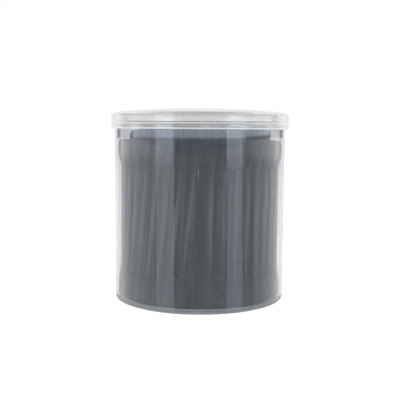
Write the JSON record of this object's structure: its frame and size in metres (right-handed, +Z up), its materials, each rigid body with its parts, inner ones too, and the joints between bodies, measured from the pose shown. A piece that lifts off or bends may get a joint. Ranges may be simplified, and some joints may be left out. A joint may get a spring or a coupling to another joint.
{
  "type": "cotton swab tub",
  "caption": "Round clear tub with a clear, slightly hazy push-on lid, packed with upright black cotton swabs that have a wound head at both ends",
  "frame": {"origin": "centre of the foot ring that the tub stands on", "axes": "+Z up along the axis of the tub; -Y is the front, from which the swabs lean to the right"},
  "size_m": [0.0838, 0.0838, 0.0888],
  "materials": {
    "clear_plastic": "clear, slightly hazy moulded plastic",
    "hazy_plastic": "clear moulded plastic with a slight haze",
    "black_cotton": "black wound cotton on a smooth black stick"
  },
  "bodies": {
    "tub": {"tub": "clear_plastic", "swab_01": "black_cotton", "swab_02": "black_cotton", "swab_03": "black_cotton", "swab_04": "black_cotton", "swab_05": "black_cotton", "swab_06": "black_cotton", "swab_07": "black_cotton", "swab_08": "black_cotton", "swab_09": "black_cotton", "swab_10": "black_cotton", "swab_11": "black_cotton", "swab_12": "black_cotton", "swab_13": "black_cotton", "swab_14": "black_cotton", "swab_15": "black_cotton", "swab_16": "black_cotton", "swab_17": "black_cotton", "swab_18": "black_cotton", "swab_19": "black_cotton", "swab_20": "black_cotton", "swab_21": "black_cotton", "swab_22": "black_cotton", "swab_23": "black_cotton", "swab_24": "black_cotton", "swab_25": "black_cotton", "swab_26": "black_cotton", "swab_27": "black_cotton", "swab_28": "black_cotton", "swab_29": "black_cotton", "swab_30": "black_cotton", "swab_31": "black_cotton", "swab_32": "black_cotton", "swab_33": "black_cotton", "swab_34": "black_cotton", "swab_35": "black_cotton", "swab_36": "black_cotton", "swab_37": "black_cotton", "swab_38": "black_cotton", "swab_39": "black_cotton", "swab_40": "black_cotton", "swabs_ring_2": "black_cotton", "swabs_ring_3": "black_cotton", "swabs_ring_4": "black_cotton", "swabs_ring_5": "black_cotton", "swabs_ring_6": "black_cotton", "swabs_ring_7": "black_cotton"},
    "lid": {"lid": "hazy_plastic"}
  },
  "joints": [
    {"name": "lid_lift", "type": "slide", "parent": "tub", "child": "lid", "axis": [0, 0, 1], "range_m": [0, 0.06]}
  ]
}
